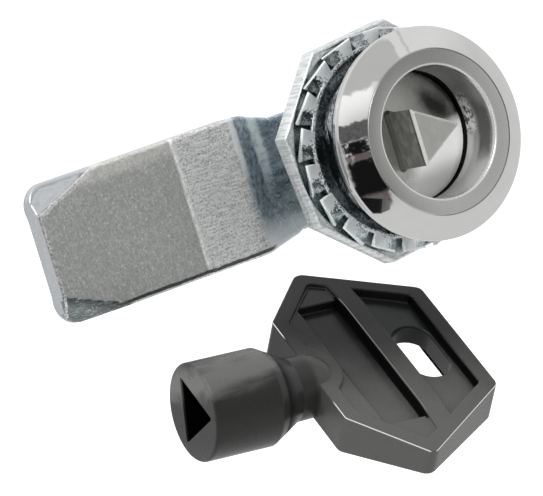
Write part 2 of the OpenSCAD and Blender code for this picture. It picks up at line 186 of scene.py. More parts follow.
# The camera's stand: a dull top, specks of light, a grey band and a warm foot.
aside = abs(way_x / toward.most(0.05) + 0.66)
stand = ((aside + ragged * 0.8).rise(0.31, 0.27) * toward.rise(0.42, 0.47)
         * (way_z + ragged * 0.7).rise(0.34, 0.32) * (way_z + ragged * 0.7).rise(-0.68, -0.63))
stand_top = way_z.rise(0.15, 0.17)
stand_band = abs(way_z + ragged * 0.15 + 0.055).rise(0.045, 0.030)
stand_foot = (way_z + ragged * 0.3).rise(-0.47, -0.52)
flecks = (specks.rise(0.55, 0.60) * aside.rise(0.04, 0.22) * way_z.rise(-0.16, 0.0)
          * (1 - stand_top))
stand_tone = (0.010 + flecks * 0.9 + stand_top * specks * 0.26
              + abs(way_z + ragged * 0.3 - 0.145).rise(0.016, 0.006) * 0.3
              + stand_band * 0.16 + stand_foot * (0.05 + specks * 0.25))
level = level * (1 - stand) + stand * stand_tone
warm = (stand * (stand_band + stand_foot).least(1.0) * 0.8).blend(grey(1), (1.0, 0.80, 0.78, 1))
seen = air.node("ShaderNodeLightPath", out="Is Camera Ray")
tent_light = air.node("ShaderNodeBackground", values={
    "Color": (level * 0.5).blend(grey(0), warm), "Strength": 2.0})
tent_plain = air.node("ShaderNodeBackground", values={"Color": grey(1), "Strength": 1.0})
tent_mix = air.node("ShaderNodeMixShader", values={0: seen, 1: tent_light, 2: tent_plain})
air.node("ShaderNodeOutputWorld", values={"Surface": tent_mix}, out=None)

lamp_light = bpy.data.lights.new("lamp_above_left", "AREA")
lamp_light.shape = "SQUARE"
lamp_light.size = 0.50
lamp_light.energy = 3.0
lamp_place, lamp_aim = Vector((-0.55, -0.35, 0.75)), Vector((-0.01, 0, 0))
lamp = in_scene("lamp_above_left", lamp_light)
lamp.location = lamp_place
lamp.rotation_euler = (lamp_place - lamp_aim).to_track_quat("Z", "Y").to_euler()


# The table. A plain pale sheet lies just below the reach of the cam, so the cam never
# dips into it as it turns. It is white to the camera and keeps the object's soft shadow;
# metal reflects the tent's own pale floor in its place.
class Finish(Tree):
    """A material whose one glossy shader is fed by sums of sockets."""

    def __init__(self, name, **shader):
        self.material = bpy.data.materials.new(name)
        self.material.use_nodes = True
        super().__init__(self.material.node_tree)
        place = self.node("ShaderNodeTexCoord", out="Object")
        self.place = self.node("ShaderNodeVectorMath", {"operation": "SCALE"},
                               {0: place, "Scale": 1000.0})
        self.x, self.y, self.z = self.parts(self.place)
        self.shader = self.node("ShaderNodeBsdfPrincipled", values=shader)
        self.node("ShaderNodeOutputMaterial", values={"Surface": self.shader}, out=None)

    def feed(self, **links):
        for name, value in links.items():
            self.tree.links.new(value.plug, self.shader.plug.node.inputs[name.replace("_", " ")])

    def scaled(self, size, stretch=(1, 1, 1)):
        return self.node("ShaderNodeMapping", values={
            "Vector": self.place, "Scale": tuple(s / size for s in stretch)})

    def grain(self, size, detail=3.0, stretch=(1, 1, 1), rough=0.55):
        """Cloudy noise from 0 to 1; size is in millimetres."""
        return self.node("ShaderNodeTexNoise", values={
            "Vector": self.scaled(size, stretch), "Scale": 1.0, "Detail": detail,
            "Roughness": rough})

    def cells(self, size):
        """How far the nearest of scattered points is; size is their spacing in millimetres."""
        return self.node("ShaderNodeTexVoronoi", {"feature": "F1"},
                         {"Vector": self.scaled(size), "Scale": 1.0}, out="Distance")

    def bumped(self, height, depth):
        """Relief: height runs from 0 to 1 and stands for depth in millimetres."""
        return self.node("ShaderNodeBump", values={
            "Height": height, "Distance": depth / 1000, "Strength": 1.0})


sheet = Finish("white_sheet", **{
    "Base Color": grey(0.80), "Roughness": 0.9, "Emission Strength": 0.50})
seen_sheet = sheet.node("ShaderNodeLightPath", out="Is Camera Ray")
through_sheet = sheet.node("ShaderNodeLightPath", out="Is Transmission Ray")
sheet.feed(Emission_Color=(seen_sheet + through_sheet).blend(grey(0), grey(1)))
table_mesh = bpy.data.meshes.new("table")
table_z, table_half = -0.0515, 3
table_mesh.from_pydata([(x * table_half, y * table_half, table_z)
                        for x, y in ((-1, -1), (1, -1), (1, 1), (-1, 1))], [], [(0, 1, 2, 3)])
table_mesh.materials.append(sheet.material)
table = in_scene("table", table_mesh)
table.visible_glossy = False


# The head and barrel. One zinc casting, turned, threaded and plated with bright chrome:
# a bevelled flange, a satin front ring, a polished recess, and a barrel with two milled
# flats and an M22 thread. A pocket in its rear end lets the stop tab sweep a quarter turn.
def softened(points, steps=3):
    """Rounds the corners of a closed outline; each point is (x, y, radius)."""
    soft = []
    for i, (x, y, radius) in enumerate(points):
        here = Vector((x, y))
        back = Vector(points[i - 1][:2]) - here
        on = Vector(points[(i + 1) % len(points)][:2]) - here
        if radius <= 0 or back.length < 1e-6 or on.length < 1e-6:
            soft.append((x, y))
            continue
        half = back.angle(on) / 2
        reach = min(radius / math.tan(half), back.length * 0.45, on.length * 0.45)
        radius = reach * math.tan(half)
        start, end = here + back.normalized() * reach, here + on.normalized() * reach
        centre = here + (back.normalized() + on.normalized()).normalized() * radius / math.sin(half)
        first, last = start - centre, end - centre
        sweep = first.angle_signed(last)
        for k in range(steps + 1):
            turn = -sweep * k / steps
            soft.append((centre.x + first.x * math.cos(turn) - first.y * math.sin(turn),
                         centre.y + first.x * math.sin(turn) + first.y * math.cos(turn)))
    return soft


def formed(name, verts, faces, merge_within=0.0):
    """A closed mesh, faces outwards; points that lie closer than merge_within become one."""
    form = bmesh.new()
    made = [form.verts.new(v) for v in verts]
    for face in faces:
        form.faces.new([made[i] for i in face])
    if merge_within:
        bmesh.ops.remove_doubles(form, verts=form.verts, dist=merge_within)
        bmesh.ops.dissolve_degenerate(form, edges=form.edges, dist=merge_within)
        loose = [v for v in form.verts if not v.link_faces]
        bmesh.ops.delete(form, geom=loose, context="VERTS")
    bmesh.ops.recalc_face_normals(form, faces=form.faces)
    mesh = bpy.data.meshes.new(name)
    form.to_mesh(mesh)
    form.free()
    return mesh


def settled(thing):
    """The object's evaluated mesh takes the place of its modifiers."""
    bpy.context.view_layer.update()
    evaluated = thing.evaluated_get(bpy.context.evaluated_depsgraph_get())
    shaped = bpy.data.meshes.new_from_object(evaluated)
    thing.modifiers.clear()
    thing.data = shaped
    return thing


def dressed(name, mesh, material, body, replaces, angle):
    """A piece with broad faces shaded flat, its small roundings smooth and its edges sharp."""
    mesh.shade_smooth()
    mesh.set_sharp_from_angle(angle=math.radians(angle))
    mesh.materials.clear()
    mesh.materials.append(material)
    piece = in_scene(name, mesh)
    even = piece.modifiers.new("even_faces", "WEIGHTED_NORMAL")
    even.keep_sharp = True
    even.weight = 100
    settled(piece)
    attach(piece, body)
    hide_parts(*replaces)


def as_piece(name, verts, faces, material, body, slot, replaces, angle=35):
    """A closed piece from points in millimetres, smooth but for edges sharper than angle."""
    verts = [(x / 1000, y / 1000, z / 1000) for x, y, z in verts]
    mesh = formed(name, verts, faces, merge_within=1e-7)
    dressed(name, mesh, material, body, replaces, angle)


def turned(profile_at, angles):
    """Points and faces swept round the lock's axis; profile_at(angle) lists (radius, y)."""
    verts, faces = [], []
    for angle in angles:
        c, s = math.cos(math.radians(angle)), math.sin(math.radians(angle))
        verts += [(r * c, y, r * s) for r, y in profile_at(angle)]
    count = len(verts) // len(angles)
    for i in range(len(angles)):
        j = (i + 1) % len(angles)
        for k in range(count):
            m = (k + 1) % count
            faces.append((i * count + k, i * count + m, j * count + m, j * count + k))
    return verts, faces


def thread_wave(y, angle, pitch=1.5):
    """0 at a thread's crest and 1 at its root, for a right-hand thread."""
    turn = (y / pitch + angle / 360) % 1
    return min(1, max(0, (0.5 - abs(turn - 0.5)) * 2 * 1.35 - 0.12))


# Radii from the axis, places along it, and the stop pocket's ends in degrees round it.
flange_r, barrel_r, flat_at, recess_r, bore_r = 14.0, 11.0, 10, 8.65, 6.05
face_y, seat_y, ledge_y, pocket_y, rear_y = -4.5, -0.8, 7.0, 16.6, 18.0
stop_sweep = (-18.29, 108.29)


def head_profile(angle):
    """The casting's outline at one angle: recess, flange, thread, stop pocket and bore."""
    in_stop_pocket = stop_sweep[0] <= (angle + 180) % 360 - 180 <= stop_sweep[1]
    pocket_r = 9.0 if in_stop_pocket else 7.25
    flat = flat_at / max(1e-6, abs(math.cos(math.radians(angle))))
    bevel = [(10.90 + 3.08 * k / 8 + 0.045 * (1 - (k / 4 - 1) ** 2),
              -4.48 + 2.06 * k / 8 - 0.068 * (1 - (k / 4 - 1) ** 2), 0) for k in range(9)]
    band = [(flange_r - 0.10 * (k / 3 - 1) ** 2, -2.36 + 1.30 * k / 6, 0) for k in range(7)]
    band[3:4] = [(flange_r, -1.75, 0), (flange_r - 0.06, -1.70, 0), (flange_r, -1.65, 0)]
    outer = softened([
        (recess_r, ledge_y, 0), (recess_r, face_y, 0.22), (10.72, face_y, 0), (10.80, -4.43, 0),
        *bevel, *band, (13.88, seat_y, 0.2), (barrel_r, seat_y, 0.15), (barrel_r, 0.4, 0)])
    thread = []
    for k in range(97):
        y = 1.0 + 16.0 * k / 96
        depth = 0.80 * min(1, (y - 0.9) / 0.8, (17.6 - y) / 0.8)
        thread.append((barrel_r - depth * thread_wave(y, angle), y))
    rear = [(min(flat, barrel_r), 17.2), (10.2, rear_y), (pocket_r, rear_y), (pocket_r, pocket_y),
            (bore_r, pocket_y), (bore_r, ledge_y)]
    return [(min(r, flat) if y > 0.2 else r, y) for r, y in outer + thread + rear]


chrome = Finish("bright_chrome")
reach = (chrome.x * chrome.x + chrome.z * chrome.z).root()

# Where the finish changes: the satin ring, the recess, the rear, and a near-black painted shadow on the
# wall beside the recess floor, standing for a deep gap there.
on_ring = reach.rise(10.86, 10.80) * chrome.y.rise(-4.30, -4.36)
in_recess = reach.rise(8.72, 8.66) * chrome.y.rise(-4.0, -3.7)
behind = chrome.y.rise(-0.95, -0.85) * reach.rise(9.6, 9.9)
gap_painted_shadow = ((chrome.y + chrome.z.rise(1.0, 7.0) * 0.55).rise(2.10, 2.25)
          * reach.rise(9.0, 8.9))
haze = chrome.grain(2.2, detail=4)
fine = chrome.grain(0.22, detail=3)
rub = chrome.grain(0.5, detail=4, stretch=(1, 5, 1))
glints = chrome.cells(0.45).rise(0.12, 0.05) * haze.rise(0.45, 0.55)
colour = haze.blend((0.63, 0.63, 0.62, 1), (0.69, 0.69, 0.685, 1))
# Painted shading on the satin ring: lighter towards +x and the bottom, darker towards -x and the top.
satin_with_painted_shading = (chrome.x - chrome.z * 0.8 + haze * 2).rise(-7, 10)
satin_with_painted_shading = satin_with_painted_shading.blend((0.47, 0.47, 0.455, 1), (0.80, 0.80, 0.785, 1))
colour = on_ring.blend(colour, satin_with_painted_shading)

# The recess wall: painted shade darker above, a painted reflection as a pale patch, a near-black band
# and mottled specks, with white painted glints over the recess.
wall = (chrome.z + haze).rise(0.5, -6.5).blend((0.24, 0.24, 0.235, 1), (0.46, 0.47, 0.46, 1))
painted_pale_reflection = ((chrome.y + haze).rise(0.9, 1.8) * (chrome.z + haze).rise(-0.5, -2.5)
              * (chrome.z + haze).rise(-7.5, -6.0))
wall = painted_pale_reflection.blend(wall, (0.66, 0.67, 0.65, 1))
dark_wall_band = (abs(chrome.y + 1.5 + haze).rise(1.9, 0.9) * (chrome.z + haze * 2).rise(4.0, 1.5)
              * (chrome.z + haze * 2).rise(-5.5, -3.0))
wall = (dark_wall_band * 0.92).blend(wall, (0.045, 0.045, 0.045, 1))
mottled = chrome.y.rise(-0.6, 0.6) * chrome.z.rise(-2.8, -1.0) * chrome.z.rise(4.0, 2.0)
mottles = chrome.grain(0.8, detail=4, rough=0.7)
mottles = mottles.rise(0.40, 0.54).blend((0.04, 0.04, 0.04, 1), (0.85, 0.86, 0.85, 1))
wall = mottled.blend(wall, mottles)
colour = in_recess.blend(colour, (glints * 0.8).blend(wall, grey(0.97)))
# A painted highlight: a light line round the recess mouth. Painted shade: a dark line in the groove
# round the satin ring, on one side only.
mouth_highlight = reach.rise(8.98, 8.86) * chrome.y.rise(-4.20, -4.32)
groove_shade = abs(reach - 10.83).rise(0.10, 0.06) * (chrome.x - chrome.z * 0.3).rise(-4, 1) * (1 - behind)
colour = (mouth_highlight * (0.45 + haze * 0.6)).blend((groove_shade * 0.75).blend(colour, grey(0.10)), grey(0.93))
# Painted shade: the barrel behind the flange is painted dark, with lighter streaks.
colour = behind.blend(colour, rub.rise(0.35, 0.65).blend((0.06, 0.065, 0.07, 1), (0.32, 0.34, 0.35, 1)))
# Painted shadow: the wall beside the recess floor is painted near black.
colour = gap_painted_shadow.blend(colour, grey(0.006))
rough = (0.030 + haze * 0.03 + on_ring * (0.20 + fine * 0.08) + in_recess * (0.10 + rub * 0.16)
         + behind * (0.18 + rub * 0.12) + gap_painted_shadow * 0.5)
chrome.feed(
    Base_Color=colour,
    Roughness=rough,
    Metallic=1 - in_recess * (1 - gap_painted_shadow) * 0.75 - mouth_highlight * 0.4 * (1 - in_recess),
    Normal=chrome.bumped(fine * (0.10 + on_ring * 0.45 + behind * 0.6) + rub * in_recess * 1.6, 0.008))

ring_turns = sorted([k * 1.5 for k in range(240)]
                    + [stop_sweep[0] + 360 - 0.02, stop_sweep[1] + 0.02])
as_piece("head_and_barrel", *turned(head_profile, ring_turns), chrome.material,
         "lock_body", "head_chrome", replaces=("housing",), angle=30)


# The gasket. A flat ring stamped from black rubber, held between the flange and the panel.
# The O-ring in the spindle's groove is of the same rubber and keeps its solid's mesh.
rubber = Finish("black_rubber", **{"Specular IOR Level": 0.35})
skin = rubber.grain(0.25, detail=4)
dust = rubber.grain(1.8, detail=3)
rubber.feed(
    Base_Color=dust.blend((0.012, 0.012, 0.013, 1), (0.028, 0.028, 0.030, 1)),
    Roughness=0.55 + skin * 0.2,
    Normal=rubber.bumped(skin, 0.02))
gasket_outline = softened([
    (11.05, seat_y, 0.1), (13.55, seat_y, 0.2), (13.55, 0, 0.2), (11.05, 0, 0.1)])
as_piece("gasket", *turned(lambda angle: gasket_outline, [k * 2.5 for k in range(144)]),
         rubber.material, "lock_body", "gasket_rubber", replaces=("flange_seal",))


def finished(cad_node, material):
    """A hidden piece keeps its solid's mesh and takes only a finish."""
    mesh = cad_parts[cad_node].data
    mesh.materials.clear()
    mesh.materials.append(material)


finished("rotor_o_ring", rubber.material)


# The turning insert. A nickel-plated casting with a triangular drive that stands on a
# flared foot, a floor disc, a spindle with the ring's groove, and a square for the cam.
def lofted(outline_at, stations):
    """Points and faces through outlines of equal count; both ends are capped."""
    verts, faces = [], []
    for station in stations:
        verts += outline_at(*station)
    count = len(verts) // len(stations)
    for i in range(len(stations) - 1):
        for k in range(count):
            m = (k + 1) % count
            faces.append((i * count + k, i * count + m, (i + 1) * count + m, (i + 1) * count + k))
    faces.append(tuple(range(count)))
    faces.append(tuple(range(len(verts) - count, len(verts))))
    return verts, faces


def joined(*forms):
    verts, faces = [], []
    for form_verts, form_faces in forms:
        faces += [tuple(i + len(verts) for i in face) for face in form_faces]
        verts += form_verts
    return verts, faces


def triangle_at(inner, y):
    """The drive's triangle; inner is the radius of the circle that fits inside it."""
    blunt = 0.10 + max(0.0, inner - 2.24) * 1.2
    corners = [(2 * inner * math.cos(math.radians(a)), 2 * inner * math.sin(math.radians(a)), blunt)
               for a in (0, 120, 240)]
    return [(x, y, z) for x, z in softened(corners, steps=6)]


drive_profile = softened([
    (0, 3.2, 0), (2.794, 3.2, 0), (2.60, 2.70, 0.05), (2.30, 2.30, 0.2),
    (2.235, -2.66, 0.06), (1.87, -3.0, 0.06), (0, -3.0, 0)])
drive = lofted(triangle_at, [p for p in drive_profile if p[0] > 0.2])
disc_r, spindle_r, groove_r = 8.55, 6.0, 4.9
floor_dome = [(disc_r * k / 10, 2.97 + 0.16 * (k / 10) ** 2.6) for k in range(11)]
spindle_side = floor_dome + softened([
    (disc_r, 3.3, 0), (disc_r, 6.95, 0.1), (spindle_r, 6.95, 0), (spindle_r, 10.0, 0.08),
    (groove_r, 10.0, 0), (groove_r, 11.1, 0), (spindle_r, 11.1, 0.08), (spindle_r, 16.65, 0.1),
    (0, 16.65, 0)])
spindle = turned(lambda angle: spindle_side, [3.75 * k for k in range(96)])
square = softened([(4, 4, 0.4), (-4, 4, 0.4), (-4, -4, 0.4), (4, -4, 0.4)])
square_bar = lofted(lambda y: [(x, y, z) for x, z in square], [(16.6,), (20.95,)])

# The floor carries a painted reflection, a bright patch on one side that also glows, beside a
# near-black patch; the drive's edges carry painted highlights.
nickel = Finish("satin_nickel", **{"Emission Strength": 1.0})
cast = nickel.grain(0.30, detail=4, rough=0.7)
cloud = nickel.grain(1.6, detail=3)
pits = nickel.cells(0.34)
on_floor = nickel.y.rise(2.0, 2.6)
on_side = abs(nickel.y + 0.2).rise(2.6, 2.4)
# Painted reflection: a near-white patch on the floor, on one side below the middle, which also glows
# through the emission below.
shine = ((nickel.x * 0.77 - nickel.z * 0.64 + cloud * 1.2).rise(1.8, 4.2)
         * (nickel.z + cloud).rise(1.6, -0.2) * on_floor)
# A near-black elongated patch on the floor's upper side.
dark_patch_long = (nickel.x * 0.59 - nickel.z * 0.81 - 1.0) / 3.3
dark_patch_wide = (nickel.x * 0.81 + nickel.z * 0.59 - 5.9) / 1.5
dark_floor_patch = (dark_patch_long * dark_patch_long + dark_patch_wide * dark_patch_wide).root() + cloud * 0.9
dark_floor_patch = dark_floor_patch.rise(1.75, 0.75) * on_floor
casting = (cloud * 0.6 + cast * 0.4).blend((0.51, 0.51, 0.49, 1), (0.77, 0.77, 0.74, 1))
casting = shine.blend(casting, (0.97, 0.97, 0.955, 1))
casting = (dark_floor_patch * 0.86).blend(casting, (0.03, 0.03, 0.026, 1))
# A painted highlight along the drive's front edge, a dark band painted just behind it, and a light line
# painted just above the foot.
drive_edge_highlight = nickel.y.rise(-2.60, -2.66) * nickel.y.rise(-2.998, -2.98)
under_edge = abs(nickel.y + 2.42).rise(0.26, 0.16)
side_tone = cloud.rise(0.38, 0.62).blend((0.50, 0.50, 0.47, 1), (1.0, 1.0, 0.96, 1))
casting = (on_side * 0.6).blend(casting, side_tone)
casting = (under_edge * 0.6).blend(casting, (0.06, 0.06, 0.055, 1))
foot_line = abs(nickel.y - 2.12 + cloud * 0.2).rise(0.24, 0.12) * (0.4 + cast * 0.6)
casting = drive_edge_highlight.most(foot_line * 0.8).blend(casting, (0.86, 0.86, 0.84, 1))
nickel.feed(
    Base_Color=casting,
    Roughness=0.24 + cast * 0.16 - shine * 0.12,
    Metallic=1 - drive_edge_highlight * 0.6 - shine * 0.8 - on_side * 0.35,
    Emission_Color=(shine * nickel.z.rise(-6.5, -3.0)).blend(grey(0), grey(0.38)),
    Normal=nickel.bumped((cast * 0.7 + pits * 0.3) * (1 - shine * 0.75), 0.045))
as_piece("turning_insert", *joined(drive, spindle, square_bar), nickel.material,
         "turning_set", "rotor_nickel", replaces=("rotor",), angle=32)


# The stop plate. A small zinc-plated stamping on the square, in the pocket at the barrel's
# rear end, where its tab meets the pocket's ends just beyond the quarter turn.
zinc = Finish("bright_zinc", **{"Metallic": 1.0})
spangle = zinc.grain(0.22, detail=4, rough=0.65)
tint = zinc.grain(3.0, detail=2)
zinc.feed(
    Base_Color=tint.blend((0.55, 0.58, 0.60, 1), (0.66, 0.67, 0.67, 1)),
    Roughness=0.24 + spangle * 0.20,
    Normal=zinc.bumped(spangle, 0.014))
finished("stop_plate", zinc.material)


# The cam. A 3 mm latch plate blanked from zinc-plated strip and cranked towards the panel.
# Its front face is coined thinner from a line across the blade, and two rough lead-in
# bevels are pressed at the tip's corners. The washer hides where it sits on the square.
blade_half, tip_x, tip_r, plate_y, thick = 9.25, -50.5, 2.8, 18.05, 3.0
bend_x, bend_a = -11.2, math.radians(45)
inner_r, outer_r, crank = 6.0, 4.0, 5.1
slope = (crank - (inner_r + outer_r) * (1 - math.cos(bend_a))) / math.sin(bend_a)
blade_x = bend_x - ((inner_r + outer_r) * math.sin(bend_a) + slope * math.cos(bend_a))
root_x = 7.99

# Stations along the plate: place in x, how far the plate is lifted, and its lean.
cam_front = [(root_x + (bend_x - root_x) * k / 40, 0.0, 0.0) for k in range(41)]
for k in range(1, 13):
    a = bend_a * k / 12
    cam_front.append((bend_x - inner_r * math.sin(a), inner_r * (1 - math.cos(a)), a))
for k in range(1, 13):
    a = bend_a * (1 - k / 12)
    cam_front.append((blade_x + outer_r * math.sin(a), crank - outer_r * (1 - math.cos(a)), a))
for start, end, count in (
    (blade_x, -28.3, 24),
    (-28.3, -28.8, 14),
    (-28.8, -39.0, 34),
    (-39.0, -50.1, 52),
):
    cam_front += [(start + (end - start) * k / count, crank, 0.0) for k in range(1, count + 1)]
cam_front += [(-50.1 - 0.4 * math.sin(math.pi / 2 * k / 6), crank, 0.0) for k in range(1, 7)]


def fade(x, start, end):
    """0 at start and 1 at end, with soft corners."""
    share = min(1.0, max(0.0, (x - start) / (end - start)))
    return share * share * (1.6 - 0.6 * share)


def half_width(x, side):
    """The plate's reach to one side: round root, neck, widening crank, blade, rounded tip."""
    neck, root_r, tip_from = 7.1 if side > 0 else 8.3, 8.2, tip_x + tip_r
    if x > -10.5:
        return min(neck, math.sqrt(max(0.0, root_r ** 2 - x * x))) if x > -4.4 else neck
    if x < tip_from:
        return blade_half - tip_r + math.sqrt(max(0.0, tip_r ** 2 - (x - tip_from) ** 2))
    widening = fade(x, -18.6, -9.8) if side > 0 else fade(x, -15.5, -9.5)
    return blade_half - (blade_half - neck) * widening


def pressed(x, w):
    """How far the front face is pressed back at a place on the blade."""
    wander = 0.10 * noise.noise(Vector((x * 0.9, w * 0.9, 3.0)))
    step_x = -28.5 + 0.12 * noise.noise(Vector((w * 0.8, 7.0, 1.0)))
    deep = 0.35 * min(1, max(0, (step_x - x) / 0.22))
    out = (x - tip_x) / 10 + (blade_half - abs(w)) / 4
    lead = (1 - out) * 1.7 + wander * 0.9
    if lead > 0.0 and x < -38:
        deep += min(lead, 1.9) * min(1, lead / 0.18)
    return deep


def cam_loop(x, lift, lean):
    """One cross-section: front face, rolled edges, sheared sides and rear face."""
    upper, lower = half_width(x, 1), half_width(x, -1)
    end_soft = max(0.0, -(x + 50.1)) / 0.4
    roll = min(0.55, upper * 0.5)
    front_w = [-lower + roll + (upper + lower - 2 * roll) * k / 60 for k in range(61)]
    loop = [(w, pressed(x, w) + 0.35 * end_soft ** 2) for w in front_w]
    d = loop[-1][1]
    for k in range(1, 6):
        a = math.pi / 2 * k / 5
        loop.append((upper - roll + roll * math.sin(a), min(2.3, d + roll * 0.8 * (1 - math.cos(a)))))
    loop += [(upper, 2.75), (upper - 0.12, 2.95), (upper - 0.3, thick)]
    loop += [(upper - 0.3 - (upper + lower - 0.6) * k / 12, thick - 0.25 * end_soft ** 2)
             for k in range(1, 12)]
    loop += [(-lower + 0.3, thick), (-lower + 0.12, 2.95), (-lower, 2.75)]
    d = pressed(x, -lower + roll)
    for k in range(5, 0, -1):
        a = math.pi / 2 * k / 5
        loop.append((-lower + roll - roll * math.sin(a), min(2.3, d + roll * 0.8 * (1 - math.cos(a)))))
    c, s = math.cos(lean), math.sin(lean)
    return [(x - s * t, plate_y - lift + c * t, w) for w, t in loop]


strip = Finish("rolled_zinc")
rolled = strip.grain(0.22, detail=4, stretch=(1.0, 1, 0.35), rough=0.65)
peened = strip.grain(0.30, detail=3, rough=0.6)
patch = strip.grain(7.0, detail=3)
wipe = strip.grain(1.1, detail=4, stretch=(0.5, 1, 1.4))
wander = strip.grain(1.4, detail=3) - 0.5
raised = strip.x.rise(-28.55, -28.35)
front_face = strip.y.rise(15.2, 14.9)
width = abs(strip.z)
spark = (peened + rolled * 0.35 + raised * 0.05).rise(0.79, 0.88)
upper_band = (strip.z + wander * 1.4).rise(6.6, 7.9) * (1 - raised) * strip.x.rise(-44.5, -42.0)
lower_edge_shade = (abs(strip.z + 8.72 + wander * 0.35).rise(0.30, 0.16)
              * strip.x.rise(-43.0, -41.0) * strip.x.rise(-16.0, -18.0))
lead = (strip.x - tip_x) / 10 + (blade_half - width) / 4 + wander * 0.10
upper_lead = lead.rise(1.02, 0.96) * strip.z.rise(2, 3) * front_face
lower_lead = lead.rise(1.04, 0.98) * strip.z.rise(-2, -3) * front_face
ridge = (abs(lead - 1.07 + wander * 0.1).rise(0.12, 0.04) * strip.z.rise(2, 3)
         * strip.x.rise(-49.9, -49.6) * front_face)
torn_lines = strip.grain(0.55, detail=4, stretch=(0.35, 1, 1.6), rough=0.7).rise(0.50, 0.62)
step_line = abs(strip.x + 28.42 + wander * 0.2).rise(0.26, 0.12) * front_face

# Tones, one over the other: the coined blade, the raised part, the crank, bevels and lines; several are
# painted highlights and painted shade.
tone = patch.blend((0.60, 0.62, 0.595, 1), (0.70, 0.71, 0.70, 1))
worn = (rolled * 0.4 + peened * 0.6).rise(0.36, 0.62)
tone = worn.blend(patch.blend((0.43, 0.445, 0.425, 1), (0.52, 0.53, 0.525, 1)), tone)
scored = strip.grain(0.35, detail=4, stretch=(0.15, 1, 1.6), rough=0.7)
bright_part = (scored * 0.5 + peened * 0.5).rise(0.36, 0.60)
bright_part = bright_part.blend((0.40, 0.42, 0.42, 1), (1.0, 1.0, 0.99, 1))
tone = (raised * front_face * 0.9).blend(tone, bright_part)
tone = (upper_band * peened).blend(tone, (0.98, 0.97, 0.93, 1))
# The crank: a blue-grey tone in random streaks, a pale painted highlight near the hollow bend, lighter
# towards its lower end, and a painted highlight along the sharp bend.
crank_from = (strip.x + strip.z * 0.05).rise(-19.6, -18.2) * strip.y.rise(20.7, 19.7)
crank_tone = wipe.rise(0.25, 0.80).blend((0.16, 0.23, 0.29, 1), (0.70, 0.84, 0.92, 1))
glint = abs(strip.x + 13.3 + wander * 0.6).rise(1.5, 0.5) * (strip.z + wander * 3).rise(-4.0, 3.5)
crank_tone = (glint * (0.6 + wipe.rise(0.35, 0.6) * 0.4)).blend(crank_tone, (0.84, 0.97, 1.0, 1))
heel = (strip.z + wander * 2).rise(-3.5, -8.0)
bend_highlight = abs(strip.x + 19.0 + wander * 0.5).rise(0.9, 0.3) * (strip.z + wander * 4).rise(-2, 5)
crank_tone = heel.blend(crank_tone, (0.74, 0.80, 0.82, 1))
tone = crank_from.blend(tone, crank_tone)
tone = (bend_highlight * 0.8).blend(tone, (0.95, 0.98, 0.99, 1))
tone = (upper_lead * 0.8).blend(tone, (0.62, 0.65, 0.68, 1))
# The lower lead-in bevel: painted shade, darkest along its upper edge, with lighter torn lines.
lead_low = (lead + torn_lines * 0.12).rise(0.98, 0.62)
lower_lead_tears_and_shade = (torn_lines * (0.35 + lead_low * 0.65)).blend((0.10, 0.12, 0.12, 1), (0.66, 0.72, 0.72, 1))
lower_lead_tears_and_shade = (lead_low * 0.45).blend(lower_lead_tears_and_shade, (0.44, 0.50, 0.50, 1))
tone = lower_lead.blend(tone, lower_lead_tears_and_shade)
sparkle = peened.rise(0.40, 0.60)
# Painted highlights: bright lines along the upper lead-in's ridge and along the coined step.
step_highlights = (ridge * 0.9 + step_line).least(1.0) * (0.35 + sparkle * 0.65)
tone = step_highlights.blend(tone, (0.98, 0.98, 0.96, 1))
# A painted highlight: a bright sparkly line across the plate near its tip.
tip_highlight = (abs(strip.x + 49.95 + wander * 0.35).rise(0.26, 0.12)
            * (strip.y + wander * 0.6).rise(14.9, 14.5) * width.rise(8.9, 8.0))
tone = (tip_highlight * (1 - upper_lead)).blend(tone, sparkle.blend((0.42, 0.43, 0.43, 1), grey(1.0)))
tip_side = strip.x.rise(-50.15, -50.35)
tone = tip_side.blend(tone, patch.blend((0.46, 0.48, 0.50, 1), (0.66, 0.68, 0.70, 1)))
# Painted shade: a dark line along the blade's lower edge.
tone = (lower_edge_shade * (0.7 + peened * 0.5).least(1.0)).blend(tone, (0.07, 0.075, 0.078, 1))
# White specks painted as glints over the plate.
tone = (spark * 0.8 * (1 - upper_lead) * (1 - lower_edge_shade)).blend(tone, (0.98, 0.98, 0.97, 1))
relief = (rolled * 0.4 + wipe * 0.2 + peened * (0.4 + ridge + upper_band * 0.6 + raised * 0.7)
          + scored * raised * 0.6 + torn_lines * lower_lead * 2.0)
raised_blade = raised * front_face * (1 - crank_from)
strip.feed(
    Base_Color=tone,
    Roughness=0.33 + rolled * 0.14 - spark * 0.14 - upper_lead * 0.14 + crank_from * 0.10,
    Metallic=(1 - crank_from * (0.25 + glint * 0.70 + heel * 0.40) - raised_blade * 0.25
              - bend_highlight * 0.4),
    Normal=strip.bumped(relief * (1 - upper_lead * 0.85) * (1 - tip_side * 0.9), 0.08))
as_piece("cam_plate", *lofted(cam_loop, cam_front), strip.material,
         "turning_set", "cam_zinc", replaces=("cam",), angle=40)


# The cam's fixing. A hexagon-head screw with a plain and a split washer, all zinc plated,
# clamps the cam on the square.
hole_r, washer_r = 3.12, 7.0
washer_outline = softened([
    (hole_r, 21.05, 0.1), (washer_r, 21.05, 0.28), (washer_r, 22.25, 0.12), (hole_r, 22.25, 0.2)])
as_piece("plain_washer", *turned(lambda angle: washer_outline, [k * 3 for k in range(120)]),
         zinc.material, "turning_set", "zinc_plate", replaces=("cam_washer",), angle=40)


def split_section(angle):
    """One cross-section of the split washer; its ends stand a little apart."""
    middle_y = 23.0 + 0.12 * (angle - 180) / 172
    corners = softened([
        (hole_r, -0.63, 0.12), (5.3, -0.60, 0.15), (5.3, 0.60, 0.15), (hole_r, 0.63, 0.12)])
    turn = math.radians(-60 - angle)
    return [(r * math.cos(turn), middle_y + y, r * math.sin(turn)) for r, y in corners]


